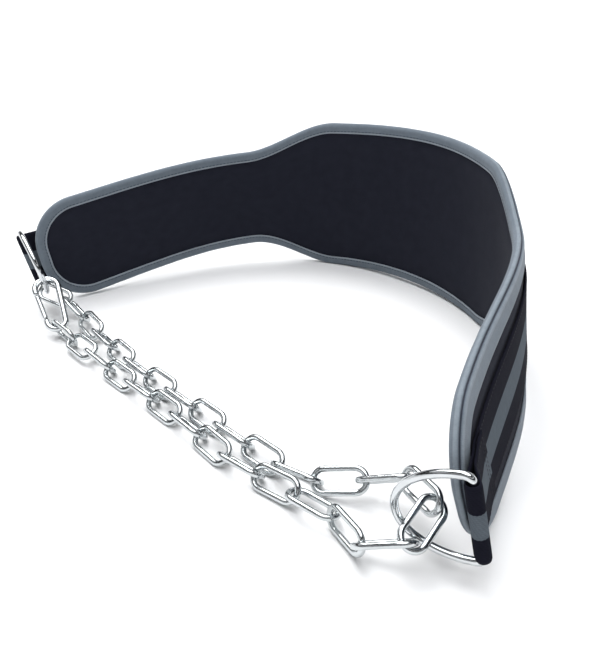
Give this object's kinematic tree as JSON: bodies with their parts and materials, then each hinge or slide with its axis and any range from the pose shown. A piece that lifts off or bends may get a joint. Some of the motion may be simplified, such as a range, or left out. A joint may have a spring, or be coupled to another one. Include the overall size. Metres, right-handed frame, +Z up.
{
  "type": "dip belt",
  "caption": "Padded weight belt standing open on its edge, with a D ring in the webbing at each end and a steel chain between them, closed by a carabiner.",
  "frame": {"origin": "on the floor, in the middle of the footprint", "axes": "+Z up, +X from the left end of the belt to its right end, +Y from the open side with the chain to the high back"},
  "size_m": [0.5088, 0.3452, 0.1529],
  "materials": {
    "neoprene": "matt foam panel with a fine knitted face",
    "binding_tape": "matt grey-blue woven edge tape",
    "webbing": "matt black woven webbing with a grey middle stripe",
    "ring_steel": "bright plated steel",
    "carabiner_steel": "bright plated steel",
    "chain_steel": "bright zinc plated steel"
  },
  "bodies": {
    "belt": {"neoprene_panel": "neoprene", "edge_binding": "binding_tape", "webbing_strap": "webbing", "d_ring_left": "ring_steel", "d_ring_right": "ring_steel", "carabiner_body": "carabiner_steel", "chain_link_01": "chain_steel", "chain_link_02": "chain_steel", "chain_link_03": "chain_steel", "chain_link_04": "chain_steel", "chain_link_05": "chain_steel", "chain_link_06": "chain_steel", "chain_link_07": "chain_steel", "chain_link_08": "chain_steel", "chain_link_09": "chain_steel", "chain_link_10": "chain_steel", "chain_link_11": "chain_steel", "chain_link_12": "chain_steel", "chain_link_13": "chain_steel", "chain_link_14": "chain_steel", "chain_link_15": "chain_steel", "chain_link_16": "chain_steel", "chain_link_17": "chain_steel", "chain_link_18": "chain_steel", "chain_link_19": "chain_steel", "chain_link_20": "chain_steel", "chain_link_21": "chain_steel", "chain_link_22": "chain_steel", "chain_link_23": "chain_steel", "chain_link_24": "chain_steel", "chain_link_25": "chain_steel", "chain_link_26": "chain_steel", "chain_link_27": "chain_steel", "chain_link_28": "chain_steel", "chain_link_29": "chain_steel"},
    "gate": {"carabiner_gate": "carabiner_steel"}
  },
  "joints": [
    {"name": "gate_hinge", "type": "hinge", "parent": "belt", "child": "gate", "pos_m": [-0.17957, -0.16044, 0.01624], "axis": [-0.4058, 0.278, -0.8707], "range_deg": [0, 32], "stiffness_Nm_per_rad": 0.03, "springref_deg": -20.05}
  ]
}
